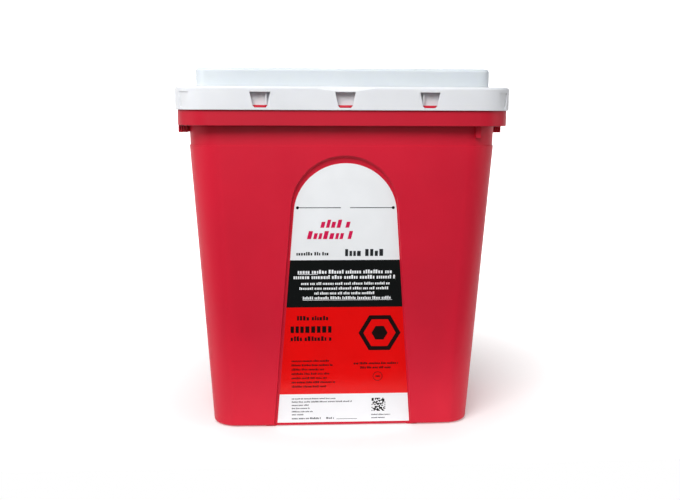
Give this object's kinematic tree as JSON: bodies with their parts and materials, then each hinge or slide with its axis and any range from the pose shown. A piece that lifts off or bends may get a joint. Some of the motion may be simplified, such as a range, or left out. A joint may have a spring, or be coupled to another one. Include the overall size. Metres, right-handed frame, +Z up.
{
  "type": "sharps container",
  "caption": "Tall tapered red bin with a white clip-on lid frame, a hinged shallow cover over its mouth and a sunk arched label panel on the front.",
  "frame": {"origin": "on the floor under the middle of the container", "axes": "+Z up, +Y towards the hinged back, the labelled front faces -Y, +X to the right seen from the front"},
  "size_m": [0.394, 0.279, 0.44],
  "materials": {
    "red_plastic": "satin moulded polypropylene",
    "frame_plastic": "milky, slightly translucent moulded polypropylene",
    "cover_plastic": "milky, slightly translucent moulded polypropylene",
    "label_film": "printed film, white with a black and a red zone"
  },
  "bodies": {
    "bin": {"container": "red_plastic", "lid_frame": "frame_plastic", "label": "label_film"},
    "cover": {"cover": "cover_plastic"}
  },
  "joints": [
    {"name": "cover_hinge", "type": "hinge", "parent": "bin", "child": "cover", "pos_m": [0, 0.1245, 0.423], "axis": [-1, 0, 0], "range_deg": [0, 110]}
  ]
}
